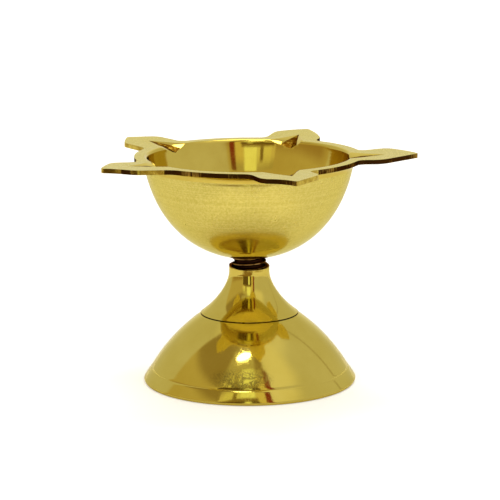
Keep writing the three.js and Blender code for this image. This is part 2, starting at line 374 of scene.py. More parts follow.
def sawnFinish(look):  # edges left from the saw: brown oxide with upright tooth marks, worn in places
    finish = newFinish("sawnBrassEdge")
    tree = finish.node_tree
    place = addNode(tree, "ShaderNodeTexCoord").outputs["Object"]
    upright = addNode(tree, "ShaderNodeMapping", {"Vector": place, "Scale": (1, 1, 0.12)})
    teeth = addNode(tree, "ShaderNodeTexNoise", {
        "Vector": upright.outputs[0], "Scale": perMetre / look["toothMm"], "Detail": 3})
    patch = addNode(tree, "ShaderNodeTexNoise", {
        "Vector": place, "Scale": perMetre / look["patchMm"], "Detail": 2})
    total = addNode(tree, "ShaderNodeMath", {
        0: teeth.outputs[0], 1: 0.7, 2: patch.outputs[0]}, operation="MULTIPLY_ADD")
    low, high = look["bare"]
    worn = addNode(tree, "ShaderNodeMapRange", {
        "Value": total.outputs[0], "From Min": low, "From Max": high})
    tone = addNode(tree, "ShaderNodeMix", {
        0: worn.outputs[0], 6: linear(look["oxide"]), 7: linear(look["worn"])}, data_type="RGBA")
    dull = addNode(tree, "ShaderNodeMapRange", {"Value": worn.outputs[0], "To Min": 0.5, "To Max": 0.3})
    bump = addNode(tree, "ShaderNodeBump", {
        "Height": teeth.outputs[0], "Strength": 0.5, "Distance": coarseBump})
    metalSurface(tree, look, {
        "Base Color": tone.outputs[2], "Roughness": dull.outputs[0], "Normal": bump.outputs[0]})
    return finish


sawnBrass = sawnFinish(sawnLook)

# painted shade for the bottom of each notch: dark brown in patches over the bare brass colour
notchShadeLook = {"paintedShadeColour": "#654414", "bare": "#b8963f", "patchMm": 1.2, "edgeTint": "#a8925a"}


def notchShadeFinish(look):  # painted shade at the bottom of a wick's notch: dark brown in patches
    finish = newFinish("notchBrassWithPaintedShade")
    tree = finish.node_tree
    place = addNode(tree, "ShaderNodeTexCoord").outputs["Object"]
    patch = addNode(tree, "ShaderNodeTexNoise", {
        "Vector": place, "Scale": perMetre / look["patchMm"], "Detail": 3})
    share = addNode(tree, "ShaderNodeMapRange", {
        "Value": patch.outputs[0], "From Min": 0.5, "From Max": 0.72})
    tone = addNode(tree, "ShaderNodeMix", {
        0: share.outputs[0], 6: linear(look["paintedShadeColour"]), 7: linear(look["bare"])}, data_type="RGBA")
    metalSurface(tree, look, {"Base Color": tone.outputs[2], "Roughness": 0.4})
    return finish


notchShadedBrass = notchShadeFinish(notchShadeLook)

# the crests' lighter colour is partly rubbed wear and partly a painted highlight
threadLook = {
    "tarnish": "#2a150a", "rubbed": "#a07c4c", "edgeTint": "#6d5238", "patchMm": 1.6,
    "crestWearAndGlintFrom": 4.45, "crestWearAndGlintTo": 4.68,
}


def threadFinish(look):  # cut thread left bare: dark brown tarnish, brighter on the crests, partly rubbed wear and partly a painted highlight
    finish = newFinish("tarnishedThread")
    tree = finish.node_tree
    place, rings = turnedCoordinates(tree)
    parts = addNode(tree, "ShaderNodeSeparateXYZ", {0: rings})
    patch = addNode(tree, "ShaderNodeTexNoise", {
        "Vector": place, "Scale": perMetre / look["patchMm"], "Detail": 4})
    crest = addNode(tree, "ShaderNodeMapRange", {
        "Value": parts.outputs[0], "From Min": look["crestWearAndGlintFrom"] * mm, "From Max": look["crestWearAndGlintTo"] * mm})
    rubbed = addNode(tree, "ShaderNodeMath", {
        0: crest.outputs[0], 1: patch.outputs[0]}, operation="MULTIPLY")
    sharp = addNode(tree, "ShaderNodeMapRange", {
        "Value": rubbed.outputs[0], "From Min": 0.3, "From Max": 0.55})
    tone = addNode(tree, "ShaderNodeMix", {
        0: sharp.outputs[0], 6: linear(look["tarnish"]), 7: linear(look["rubbed"])}, data_type="RGBA")
    bump = addNode(tree, "ShaderNodeBump", {
        "Height": patch.outputs[0], "Strength": 0.3, "Distance": coarseBump})
    metalSurface(tree, look, {
        "Base Color": tone.outputs[2], "Roughness": 0.34, "Normal": bump.outputs[0]})
    return finish


tarnishedThread = threadFinish(threadLook)
print("finishes made")


# Foot: the hollow bell, with a band at its lip that a fine groove sets off

foot = {
    "restRadius": 29.2, "restWidth": 1.9, "widestRadius": 29.5, "widestHeight": 0.7,
    "bandTopRadius": 27.4, "bandTopHeight": 3.8, "bandBulge": 0.04, "grooveDepth": 0.1, "grooveWidth": 0.3,
    "crownRadius": 13.5, "crownHeight": 18.85, "bellBulge": 1.05, "wall": 1.9, "crownThickness": 3.2,
    "holeRadius": 6.8, "edgeRound": 0.2, "seamRound": 0.04, "segments": 192,
}


def footProfile(f):
    crownEdge = Vector((f["crownRadius"], f["crownHeight"]))
    holeTop = Vector((f["holeRadius"], f["crownHeight"]))
    holeEnd = Vector((f["holeRadius"], f["crownHeight"] - f["crownThickness"]))
    insideCrown = Vector((f["crownRadius"] - f["wall"], holeEnd.y))
    bandTop = Vector((f["bandTopRadius"], f["bandTopHeight"]))
    widest = Vector((f["widestRadius"], f["widestHeight"]))
    restOut = Vector((f["restRadius"], 0))
    restIn = Vector((f["restRadius"] - f["restWidth"], 0))
    inside = arcPoints(insideCrown, restIn, f["bellBulge"], 40)
    bell = arcPoints(crownEdge, bandTop, f["bellBulge"], 60)
    band = arcPoints(bandTop, widest, f["bandBulge"], 12)
    aboveGroove = [p for p in bell[1:] if p.y > bandTop.y + f["grooveWidth"] / 2]
    belowGroove = [p for p in band if p.y < bandTop.y - f["grooveWidth"] / 2]
    grooveFloor = bandTop - Vector((f["grooveDepth"], f["grooveDepth"] / 2))
    return [
        *roundCorner(holeEnd, holeTop, crownEdge, f["edgeRound"]),
        *roundCorner(holeTop, crownEdge, aboveGroove[1], f["seamRound"]),
        *aboveGroove[1:],
        grooveFloor,
        *belowGroove[:-1],
        *roundCorner(belowGroove[-2], widest, restOut, f["edgeRound"]),
        *roundCorner(widest, restOut, restIn, f["edgeRound"]),
        *roundCorner(restOut, restIn, inside[-2], f["edgeRound"]),
        *reversed(inside[1:-1]),
        *roundCorner(inside[1], insideCrown, holeEnd, f["edgeRound"]),
        *roundCorner(insideCrown, holeEnd, holeTop, f["edgeRound"]),
        *roundCorner(holeEnd, holeTop, crownEdge, f["edgeRound"])[:1],
    ]


standFoot = turnPiece("turnedFoot", footProfile(foot), foot["segments"])
standFoot.data.materials.append(rubbedBrass)
standFoot.data.materials.append(tarnishedThread)
coatFaces(standFoot, 1, lambda f: f.calc_center_median().z > (foot["crownHeight"] - near) * mm)
finishPiece(standFoot, "stand", "stand_foot")


# Neck: a trumpet with a spigot below, and a mouth that was filed at a slant

neck = {
    "baseRadius": 13.5, "baseHeight": 19.15, "mouthRadius": 5.6, "mouthHeight": 32.3, "shaft": 1.6,
    "rootPull": 5.7, "tipPull": 3.2, "rootAngle": 35, "spigotRadius": 6.5, "spigotLength": 4.2,
    "boreRadius": 5.0, "boreFloor": 23.59, "slant": 4.5, "slantBearing": -73, "edgeRound": 0.15,
    "spigotRound": 0.5, "lipRound": 0.3, "lipWidth": 0.35, "seamRound": 0.04, "sawnOff": 2, "segments": 144,
}


def neckProfile(n):
    baseEdge = Vector((n["baseRadius"], n["baseHeight"]))
    spigotRoot = Vector((n["spigotRadius"], n["baseHeight"]))
    spigotEnd = Vector((n["spigotRadius"], n["baseHeight"] - n["spigotLength"]))
    spigotMiddle = Vector((0, spigotEnd.y))
    shaftFoot = Vector((n["mouthRadius"], n["mouthHeight"] - n["shaft"]))
    shaftTop = Vector((n["mouthRadius"], n["mouthHeight"] + n["sawnOff"]))
    boreTop = Vector((n["boreRadius"], shaftTop.y))
    boreEnd = Vector((n["boreRadius"], n["boreFloor"]))
    trumpet = pulledCurve(baseEdge, 180 - n["rootAngle"], n["rootPull"], shaftFoot, 90, n["tipPull"], 48)
    return [
        spigotMiddle,
        *roundCorner(spigotMiddle, spigotEnd, spigotRoot, n["spigotRound"]),
        *roundCorner(spigotEnd, spigotRoot, baseEdge, n["edgeRound"]),
        *roundCorner(spigotRoot, baseEdge, trumpet[1], n["seamRound"]),
        *trumpet[1:],
        *straight(shaftFoot, shaftTop, 6)[1:],
        *straight(boreTop, boreEnd, 8),
        Vector((0, n["boreFloor"])),
    ]


standNeck = turnPiece("trumpetNeck", neckProfile(neck), neck["segments"])
selectOnly(standNeck)
bpy.ops.object.mode_set(mode="EDIT")
bpy.ops.mesh.select_all(action="SELECT")
mouthCentre = Vector((axisX, 0, neck["mouthHeight"] * mm))
mouthTilt = Euler((0, math.radians(neck["slant"]), math.radians(neck["slantBearing"]))).to_matrix()
mouthNormal = mouthTilt @ Vector((0, 0, 1))
bpy.ops.mesh.bisect(plane_co=mouthCentre, plane_no=mouthNormal, use_fill=True, clear_outer=True)
bpy.ops.mesh.select_all(action="SELECT")
bpy.ops.mesh.normals_make_consistent(inside=False)


def aboveMouth(place):
    return (place - mouthCentre).dot(mouthNormal) / mm


def onMouth(edge):  # the edges of the slanted cut that run round it
    flat = all(abs(aboveMouth(v.co)) < near / 2 for v in edge.verts)
    return flat and len({round(radiusOf(v.co) * 2) for v in edge.verts}) == 1


pickElements(standNeck, "EDGE", onMouth)
bpy.ops.mesh.bevel(offset=neck["lipRound"] * mm, segments=4, affect="EDGES", clamp_overlap=True)
bpy.ops.object.mode_set(mode="OBJECT")
for finish in (buffedBrass, tarnishedThread, filedBrass):
    standNeck.data.materials.append(finish)


def tarnishedFace(face):  # the bore, and the shoulder hidden in the seam
    middle = face.calc_center_median()
    bored = radiusOf(middle) < neck["mouthRadius"] - neck["lipWidth"] and middle.z > neck["boreFloor"] * mm
    return bored or middle.z < (neck["baseHeight"] + near) * mm


def filedFace(face):  # the rounded lip of the mouth
    middle = face.calc_center_median()
    outer = radiusOf(middle) > neck["mouthRadius"] - neck["lipWidth"]
    return outer and aboveMouth(middle) > -neck["lipRound"]


coatFaces(standNeck, 1, tarnishedFace)
coatFaces(standNeck, 2, filedFace)
finishPiece(standNeck, "stand", "stand_neck")


# Stud: one turn of the thread's outline, screwed up the axis and cut off flat at both ends

stud = {
    "crest": 4.7, "root": 4.1, "pitch": 1.5, "crestWidth": 0.24, "flankBase": 1.1,
    "rootRound": (0.05, 0.06), "crestRound": (0.06, 0.03), "low": 23.89, "high": 35.89, "steps": 72,
}


def makeStud(s):
    gap = (s["pitch"] - s["flankBase"]) / 2
    flank = (s["flankBase"] - s["crestWidth"]) / 2
    base = s["low"] - s["pitch"]
    lift, widen = s["rootRound"]
    drop, narrow = s["crestRound"]
    half = [
        (s["root"], 0), (s["root"], gap), (s["root"] + lift, gap + widen),
        (s["crest"] - drop, gap + flank - narrow), (s["crest"], gap + flank + narrow),
    ]
    outline = [*half, *[(r, s["pitch"] - z) for r, z in reversed(half)]]
    points = [Vector((r * mm, 0, (base + z) * mm)) for r, z in outline]
    piece = startPiece("threadedStud", points[0])
    drawOn(points)
    bpy.ops.object.mode_set(mode="OBJECT")
    screw = piece.modifiers.new("thread", "SCREW")
    screw.angle = 2 * math.pi
    screw.screw_offset = s["pitch"] * mm
    screw.iterations = math.ceil((s["high"] - s["low"]) / s["pitch"]) + 2
    screw.steps = s["steps"]
    screw.render_steps = s["steps"]
    screw.use_merge_vertices = True
    screw.merge_threshold = 0.002 * mm
    selectOnly(piece)
    bpy.ops.object.modifier_apply(modifier="thread")
    bpy.ops.object.mode_set(mode="EDIT")
    weld()
    bpy.ops.mesh.bisect(plane_co=(0, 0, s["low"] * mm), plane_no=(0, 0, 1), use_fill=True, clear_inner=True)
    bpy.ops.mesh.select_all(action="SELECT")
    bpy.ops.mesh.bisect(plane_co=(0, 0, s["high"] * mm), plane_no=(0, 0, 1), use_fill=True, clear_outer=True)
    bpy.ops.mesh.select_all(action="SELECT")
    bpy.ops.transform.translate(value=(axisX, 0, 0))
    bpy.ops.mesh.normals_make_consistent(inside=False)
    bpy.ops.object.mode_set(mode="OBJECT")
    piece.data.materials.append(tarnishedThread)
    return piece


threadedStud = makeStud(stud)
finishPiece(threadedStud, "stud", "screw_stud")


# Bowl: turned with a wide flange, which is then sawn to a star and filed with five notches

bowl = {
    "bottom": 34.59, "rimHeight": 63.09, "mouthRadius": 28.9, "mouthAngle": 81, "waistPull": 16.3,
    "bottomPull": 16, "wall": 1.2, "floor": 2.8, "rimRound": 0.9, "plateThickness": 1.25,
    "plateRadius": 31.3, "filletHeight": 1.8, "filletReach": 1.5, "filletHollow": 0.35,
    "flangeRadius": 49, "lineDepth": 0.07, "socketRadius": 4.4, "socketTop": 36.19, "edgeRound": 0.16,
    "socketRound": 0.12, "rootFillet": 2.5, "liftInset": 1, "liftDepth": 2, "liftEase": 0.12,
    "polishedFrom": 37, "segments": 240,
}
spouts = [  # given one by one, so no two are alike: sizes along and across each spout, its left as seen from the axis
    {"tip": (46.4, -0.5), "blunt": 0.4, "rise": 0.7, "notchTurn": 0, "notchLean": 0,
     "left": {"root": 8, "shoulder": (38.3, 11.1), "round": 3.6, "hollow": -0.4, "filed": []},
     "right": {"root": 7.8, "shoulder": (36.3, -9.3), "round": 2.6, "hollow": 0, "filed": []}},
    {"tip": (46, -1.1), "blunt": 0.8, "rise": 0.8, "notchTurn": -2, "notchLean": -0.25,
     "left": {"root": 6.4, "shoulder": (40.4, 6.9), "round": 2.6, "hollow": -0.2, "filed": []},
     "right": {"root": 8.4, "shoulder": (34.6, -9.1), "round": 2.5, "hollow": -0.3, "filed": []}},
    {"tip": (44.9, -0.3), "blunt": 0.5, "rise": 0.8, "notchTurn": -1.5, "notchLean": -0.1,
     "left": {"root": 8.1, "shoulder": (39.6, 6.8), "round": 0.9, "hollow": -0.1, "filed": [(0, 21)]},
     "right": {"root": 7.3, "shoulder": (40, -8), "round": 2, "hollow": 0, "filed": []}},
    {"tip": (46.7, 0.4), "blunt": 0.4, "rise": 0.8, "notchTurn": -2, "notchLean": 0,
     "left": {"root": 9.4, "shoulder": (39.8, 7), "round": 1.4, "hollow": 0.5, "filed": [(0, 5), (8.5, 14)]},
     "right": {"root": 7, "shoulder": (38.8, -8.2), "round": 2.4, "hollow": -0.2, "filed": [(0, 21)]}},
    {"tip": (46.7, 0.2), "blunt": 0.4, "rise": 0.4, "notchTurn": 2.5, "notchLean": 0.4,
     "left": {"root": 8, "shoulder": (37.2, 9.2), "round": 2.2, "hollow": 0, "filed": [(0, 21)]},
     "right": {"root": 7.8, "shoulder": (38.8, -7.2), "round": 1.8, "hollow": 0.9, "filed": []}},
]
spoutTurn = 2 * math.pi / len(spouts)
# a notch's sizes; painted shade covers the deepest share of its faces
notch = {
    "length": 5.9, "bendInset": 0.5, "overrun": 3.2, "spread": 0.53, "bendDepth": 0.85, "rimDepth": 2.1,
    "paintedShadeDepthShare": 0.45, "lipRound": 0.45, "lipInside": 1.3, "lipOutside": 0.5, "lipDeepest": 2.6,
    "lipHighest": 0.12, "lipAngle": 0.6,
    "flare": [(1.06, 1.5), (1.06, 0), (1.03, -0.012), (0.97, -0.05)], "tipHalf": 0.06, "tipDepth": -0.97,
}
quarterBulge = 0.29  # how far a quarter circle swells from its chord, over its radius


def bowlProfile(b):
    plateBottom = b["rimHeight"] - b["plateThickness"]
    innerMouth = b["mouthRadius"] - b["wall"]
    floorTop = b["bottom"] + b["floor"]
    rimFoot = b["rimHeight"] - b["rimRound"]
    rimOut = Vector((innerMouth + b["rimRound"], b["rimHeight"]))
    outside = pulledCurve(
        (0, b["bottom"]), 0, b["bottomPull"], (b["mouthRadius"], plateBottom), b["mouthAngle"],
        b["waistPull"], 64)
    inside = pulledCurve(
        (0, floorTop), 0, b["bottomPull"] * innerMouth / b["mouthRadius"], (innerMouth, rimFoot),
        b["mouthAngle"], b["waistPull"] * (rimFoot - floorTop) / (plateBottom - b["bottom"]), 56)
    rim = arcPoints(inside[-1], rimOut, b["rimRound"] * quarterBulge, 8)
    filletFoot = pointAtHeight(outside, plateBottom - b["filletHeight"])
    filletTop = Vector((b["mouthRadius"] + b["filletReach"], plateBottom))
    wall = [p for p in outside if p.x > b["socketRadius"] + 0.5 and p.y < filletFoot.y - 0.2]
    socketMouth = Vector((b["socketRadius"], b["bottom"]))
    socketEnd = Vector((b["socketRadius"], b["socketTop"]))
    return [
        Vector((0, b["socketTop"])),
        socketEnd,
        *roundCorner(socketEnd, socketMouth, wall[0], b["socketRound"]),
        *wall,
        filletFoot - Vector((b["lineDepth"], 0.05)),
        *arcPoints(filletFoot + Vector((0, 0.1)), filletTop, b["filletHollow"], 8),
        *straight(filletTop, (b["flangeRadius"], plateBottom), 19)[1:],
        *straight((b["flangeRadius"], b["rimHeight"]), rimOut, 20),
        *rim[::-1][1:],
        *inside[::-1][1:],
    ]


def spoutSide(b, side, tip, nose):  # from the plate's edge round the root and the shoulder towards the tip
    sign = math.copysign(1, side["shoulder"][1])
    shoulder = Vector(side["shoulder"])
    root = Vector((math.sqrt(b["plateRadius"] ** 2 - side["root"] ** 2), sign * side["root"]))
    edgeAngle = math.asin(side["root"] / b["plateRadius"]) + b["rootFillet"] / b["plateRadius"]
    edge = b["plateRadius"] * Vector((math.cos(edgeAngle), sign * math.sin(edgeAngle)))
    flank = roundCorner(root, shoulder, tip, side["round"], 10)
    noseStart = tip + (flank[-1] - tip).normalized() * nose
    points = [*roundCorner(edge, root, shoulder, b["rootFillet"], 8), *flank]
    if side["hollow"]:
        leftward = side["hollow"] * sign < 0
        ends = (flank[-1], noseStart) if leftward else (noseStart, flank[-1])
        curve = arcPoints(*ends, abs(side["hollow"]), 8)
        points += (curve if leftward else curve[::-1])[1:-1]
    return [*points, noseStart]


def starOutline(b):  # anticlockwise, spout after spout
    points = []
    for number, spout in enumerate(spouts):
        tip = Vector(spout["tip"])
        nose = 2 * spout["blunt"]
        right = spoutSide(b, spout["right"], tip, nose)
        left = spoutSide(b, spout["left"], tip, nose)
        after = spouts[(number + 1) % len(spouts)]["right"]["root"]
        fromAngle = math.atan2(left[0].y, left[0].x)
        toAngle = spoutTurn - math.asin(after / b["plateRadius"]) - b["rootFillet"] / b["plateRadius"]
        angles = [fromAngle + (toAngle - fromAngle) * i / 24 for i in range(1, 24)]
        rim = [b["plateRadius"] * Vector((math.cos(a), math.sin(a))) for a in angles]
        turn = Matrix.Rotation(spoutTurn * number, 2)
        for p in (*right, *roundCorner(right[-1], tip, left[-1], nose, 8)[1:-1], *left[::-1], *rim):
            points.append(turn @ p)
    return points


def filedHere(place):  # whether the sawn edge here was filed bright
    angle = math.atan2(place.y, place.x - axisX) % (2 * math.pi)
    number = round(angle / spoutTurn) % len(spouts)
    across = math.degrees((angle - number * spoutTurn + math.pi) % (2 * math.pi) - math.pi)
    filed = spouts[number]["left" if across > 0 else "right"]["filed"]
    return any(low <= abs(across) < high for low, high in filed)


def makeStarCutter(b):
    plateBottom = (b["rimHeight"] - b["plateThickness"]) * mm
    outline = []
    for p in starOutline(b):
        place = Vector((axisX + p.x * mm, p.y * mm, plateBottom))
        if not outline or (place - outline[-1]).length > 0.03 * mm:
            outline.append(place)
    cutter = startPiece("starCutter", outline[0])
    drawOn([*outline, outline[0]])
    bpy.ops.mesh.select_all(action="SELECT")
    bpy.ops.mesh.remove_doubles(threshold=0.01 * mm)
    bpy.ops.mesh.select_all(action="SELECT")
    bpy.ops.mesh.edge_face_add()
    bpy.ops.mesh.extrude_region_move(TRANSFORM_OT_translate={"value": (0, 0, b["plateThickness"] * mm)})
    bpy.ops.mesh.select_all(action="SELECT")
    bpy.ops.mesh.normals_make_consistent(inside=False)
    for finish in (sawnBrass, satinBrass, filedBrass):
        cutter.data.materials.append(finish)
    paintFaces(cutter, 2, lambda f: abs(f.normal.z) < 0.5 and filedHere(f.calc_center_median()))
    pickElements(cutter, "EDGE", lambda e: abs(e.verts[0].co.z - e.verts[1].co.z) < 1e-6)
    bpy.ops.mesh.bevel(offset=b["edgeRound"] * mm, segments=4, affect="EDGES", clamp_overlap=True)
    paintFaces(cutter, 1, lambda f: abs(f.normal.z) > 0.3)
    for up, reach in ((1, 4), (-1, -32)):  # past the rim, and down past the bowl's bottom
        pickElements(cutter, "FACE", lambda f: f.normal.z * up > 0.999 and len(f.verts) > 20)
        bpy.ops.mesh.extrude_region_move(TRANSFORM_OT_translate={"value": (0, 0, reach * mm)})
    bpy.ops.object.mode_set(mode="OBJECT")
    return cutter


def makeNotchCutter(b, n, number):  # a V whose lips flare out, extruded and widened in three stages
    innerMouth = b["mouthRadius"] - b["wall"]
    top = b["rimHeight"] * mm
    reaches = [b["plateRadius"] + n["length"], b["plateRadius"] - n["bendInset"], innerMouth - n["overrun"]]
    depthSlope = (n["rimDepth"] - n["bendDepth"]) / (reaches[1] - innerMouth)
    depths = [0.02, n["bendDepth"], n["rimDepth"] + depthSlope * n["overrun"]]
    halves = [n["spread"] * (reaches[0] - r) for r in reaches]
    halves[0] = halves[1] * depths[0] / depths[1]
    lean = spouts[number]["notchLean"]
    tip = [(lean - n["tipHalf"], n["tipDepth"]), (lean, -1), (lean + n["tipHalf"], n["tipDepth"])]
    across, down = n["flare"][-1]
    # where the painted shade begins on each side of the V
    shadeLeft = Vector((-across, down)).lerp(tip[0], 1 - n["paintedShadeDepthShare"])
    shadeRight = Vector((across, down)).lerp(tip[2], 1 - n["paintedShadeDepthShare"])
    flareLeft = [(-y, z) for y, z in n["flare"]]
    section = [*flareLeft, shadeLeft, *tip, shadeRight, *reversed(n["flare"])]
    ring = [Vector((reaches[0] * mm, y * halves[0] * mm, top + z * depths[0] * mm)) for y, z in section]
    cutter = startPiece("notchCutter", ring[0])
    drawOn([*ring, ring[0]])
    bpy.ops.mesh.select_all(action="SELECT")
    bpy.ops.mesh.remove_doubles(threshold=0.0001 * mm)
    bpy.ops.mesh.select_all(action="SELECT")
    bpy.ops.mesh.edge_face_add()
    for i in (1, 2):
        step = ((reaches[i] - reaches[i - 1]) * mm, 0, 0)
        bpy.ops.mesh.extrude_region_move(TRANSFORM_OT_translate={"value": step})
        bpy.ops.transform.resize(
            value=(1, halves[i] / halves[i - 1], depths[i] / depths[i - 1]),
            center_override=(reaches[i] * mm, 0, top))
    bpy.ops.mesh.select_all(action="SELECT")
    bpy.ops.mesh.normals_make_consistent(inside=False)
    cutter.data.materials.append(innerBrass)
    cutter.data.materials.append(notchShadedBrass)

    def nearBottom(face):
        centre = face.calc_center_median()
        share = 0 if centre.x > reaches[1] * mm else 1
        along = (centre.x / mm - reaches[share]) / (reaches[share + 1] - reaches[share])
        depth = depths[share] + (depths[share + 1] - depths[share]) * along
        return (top - centre.z) / mm > depth * (1 - n["paintedShadeDepthShare"])

    # the faces deep in the notch get the painted shade
    paintFaces(cutter, 1, nearBottom)
    bpy.ops.object.mode_set(mode="OBJECT")
    bearing = spoutTurn * number + math.radians(spouts[number]["notchTurn"])
    cutter.data.transform(Matrix.Translation((axisX, 0, 0)) @ Matrix.Rotation(bearing, 4, "Z"))
    return cutter


def liftSpouts(piece, b):  # each spout is bent up a little from the plate's edge
    group = piece.vertex_groups.new(name="lift")
    highest = max(spout["rise"] for spout in spouts)
    start = b["plateRadius"] - b["liftInset"]
    for vertex in piece.data.vertices:
        beyond = radiusOf(vertex.co) - start
        if beyond > 0 and vertex.co.z > (b["rimHeight"] - b["liftDepth"]) * mm:
            number = round(math.atan2(vertex.co.y, vertex.co.x - axisX) / spoutTurn) % len(spouts)
            share = beyond / (spouts[number]["tip"][0] - start)
            bend = share * share / (share + b["liftEase"]) * (1 + b["liftEase"])
            group.add([vertex.index], min(1, bend * spouts[number]["rise"] / highest), "REPLACE")
    lift = piece.modifiers.new("lift", "DISPLACE")
    lift.direction = "Z"
    lift.mid_level = 0
    lift.strength = highest * mm
    lift.vertex_group = "lift"
    selectOnly(piece)
    bpy.ops.object.modifier_apply(modifier="lift")
    piece.vertex_groups.clear()


starBowl = turnPiece("starBowl", bowlProfile(bowl), bowl["segments"])
for finish in (satinBrass, innerBrass):
    starBowl.data.materials.append(finish)


def polishedFace(face):  # the inside, and the fillet under the plate
    centre = face.calc_center_median()
    radius = radiusOf(centre)
    height = centre.z / mm
    outward = Vector((centre.x - axisX, centre.y, 0)).normalized()
    inwards = face.normal.dot(outward) < 0.05 and face.normal.z > -0.05
    inside = inwards and height > bowl["polishedFrom"] and radius < bowl["mouthRadius"] - 0.3
    plateBottom = bowl["rimHeight"] - bowl["plateThickness"]
    beside = plateBottom - bowl["filletHeight"] - 0.1 < height < plateBottom - 0.01
    return inside or beside and radius < bowl["plateRadius"] and face.normal.z < 0


coatFaces(starBowl, 1, polishedFace)
print("bowl turned")
cutWith(starBowl, makeStarCutter(bowl), "INTERSECT")
print("star sawn")
for number in range(len(spouts)):
    cutWith(starBowl, makeNotchCutter(bowl, notch, number), "DIFFERENCE")


def roundLips(piece, b, n):  # wear has rounded the notches where they cut through the bowl's wall
    selectOnly(piece)
    bpy.ops.object.mode_set(mode="EDIT")
    innerMouth = b["mouthRadius"] - b["wall"]

    def onLip(edge):
        ring = all(innerMouth - n["lipInside"] < radiusOf(v.co) < innerMouth + n["lipOutside"]
                   for v in edge.verts)
        low = all(n["lipHighest"] < b["rimHeight"] - v.co.z / mm < n["lipDeepest"] for v in edge.verts)
        return ring and low and len(edge.link_faces) == 2 and edge.calc_face_angle() > n["lipAngle"]

    pickElements(piece, "EDGE", onLip)
    bpy.ops.mesh.bevel(offset=n["lipRound"] * mm, segments=3, affect="EDGES", clamp_overlap=True, material=1)
    bpy.ops.object.mode_set(mode="OBJECT")


roundLips(starBowl, bowl, notch)
print("notches filed")
liftSpouts(starBowl, bowl)
finishPiece(starBowl, "bowl", "star_bowl")


# Floor, light and camera

shot = {
    "distance": 622.0, "height": 163.81, "bearing": 2.92, "heading": 2.898, "pitch": 11.565,
    "roll": -0.298, "lens": 165.6, "sensorWidth": 36,
}
side = math.radians(shot["bearing"])  # the camera stands this far round from straight in front


def layZones(tree, colour, first, second, zones):  # mixes each zone's colour over the ones before it
    def fade(value, edge, soft, up):
        return addNode(tree, "ShaderNodeMapRange", {
            "Value": value, "From Min": edge - soft / 2, "From Max": edge + soft / 2,
            "To Min": 0.0 if up else 1.0, "To Max": 1.0 if up else 0.0},
            interpolation_type="SMOOTHSTEP").outputs[0]

    def times(one, other):
        return addNode(tree, "ShaderNodeMath", {0: one, 1: other}, operation="MULTIPLY").outputs[0]

    colour = (*colour, 1)
    for zone in zones:
        share = 1.0
        for value, (low, high), soft in zip((first, second), zone["limits"], zone["soft"]):
            share = times(share, times(fade(value, low, soft, True), fade(value, high, soft, False)))
        colour = addNode(tree, "ShaderNodeMix", {
            0: share, 6: colour, 7: (*zone["colour"], 1)}, data_type="RGBA").outputs[2]
    return colour


floorLook = {"colour": (0.9, 0.9, 0.89), "size": 6000, "lift": 0.47, "bounce": 0.1}
tableZones = [  # the white paper ends in front of the lamp; mm to the right and away from the camera
    # painted light: a brighter pool on the paper just in front of the lamp, seen in the brass's reflections
    {"limits": ((-60, 60), (-125, -30)), "soft": (60, 50), "colour": (1.04, 1.04, 1.02)},
    {"limits": ((-400, 40), (-900, -128)), "soft": (20, 20), "colour": (0.3, 0.2, 0.08)},
]


def makeFloor(look, zones):
    bpy.ops.object.select_all(action="DESELECT")
    bpy.ops.mesh.primitive_plane_add(size=look["size"] * mm, location=(0, 0, -0.1 * mm))
    table = bpy.context.object
    table.name = "tableTop"
    paper = newFinish("whitePaper")
    tree = paper.node_tree
    place = addNode(tree, "ShaderNodeTexCoord").outputs["Object"]
    turned = addNode(tree, "ShaderNodeVectorRotate", {
        "Vector": place, "Center": (axisX, 0, 0), "Angle": -side}, rotation_type="Z_AXIS")
    scaled = addNode(tree, "ShaderNodeMapping", {"Vector": turned.outputs[0], "Scale": (perMetre,) * 3})
    parts = addNode(tree, "ShaderNodeSeparateXYZ", {0: scaled.outputs[0]})
    mirrored = layZones(tree, look["colour"], parts.outputs[0], parts.outputs[1], zones)
    rays = addNode(tree, "ShaderNodeLightPath")
    seen = addNode(tree, "ShaderNodeMix", {
        0: rays.outputs["Is Camera Ray"], 6: mirrored, 7: (*look["colour"], 1)}, data_type="RGBA")
    matte = addNode(tree, "ShaderNodeBsdfDiffuse", {"Color": seen.outputs[2]})
    glowShare = addNode(tree, "ShaderNodeMapRange", {
        "Value": rays.outputs["Is Camera Ray"], "To Min": look["bounce"], "To Max": look["lift"]})
    glow = addNode(tree, "ShaderNodeEmission", {"Color": seen.outputs[2], "Strength": glowShare.outputs[0]})
    lifted = addNode(tree, "ShaderNodeAddShader", {0: matte.outputs[0], 1: glow.outputs[0]})
    addNode(tree, "ShaderNodeOutputMaterial", {"Surface": lifted.outputs[0]})
    table.data.materials.append(paper)


makeFloor(floorLook, tableZones)

cloth = (0.71, 0.71, 0.7)
daylit = {"soft": (20, 14), "colour": (0.92, 0.92, 0.9)}
window = {"soft": (8, 6), "colour": (6.5, 6.5, 6.3)}
tent = [  # what the brass mirrors: degrees to the right of the camera, and up
    {"limits": ((158, 200), (-20, 40)), **daylit},
    {"limits": ((-200, -158), (-20, 40)), **daylit},
    {"limits": ((-200, 200), (58, 100)), "soft": (10, 14), "colour": (0.88, 0.88, 0.86)},
    {"limits": ((118.5, 120.5), (5, 60)), "soft": (1, 6), "colour": (0.5, 0.46, 0.36)},
    {"limits": ((26, 70), (40, 80)), "soft": (24, 12), "colour": (0.95, 0.94, 0.88)},
    {"limits": ((-107, 26), (-20, 52)), "soft": (4, 8), "colour": (0.64, 0.56, 0.33)},
    {"limits": ((-107, 26), (44, 76)), "soft": (4, 8), "colour": (0.39, 0.31, 0.17)},
    {"limits": ((-100, 26), (-20, 12)), "soft": (20, 12), "colour": (0.46, 0.34, 0.17)},
    {"limits": ((-42, 10), (50, 72)), "soft": (8, 6), "colour": (0.6, 0.56, 0.38)},
    {"limits": ((150, 200), (60, 77)), **window},
    {"limits": ((-200, -150), (60, 77)), **window},
]


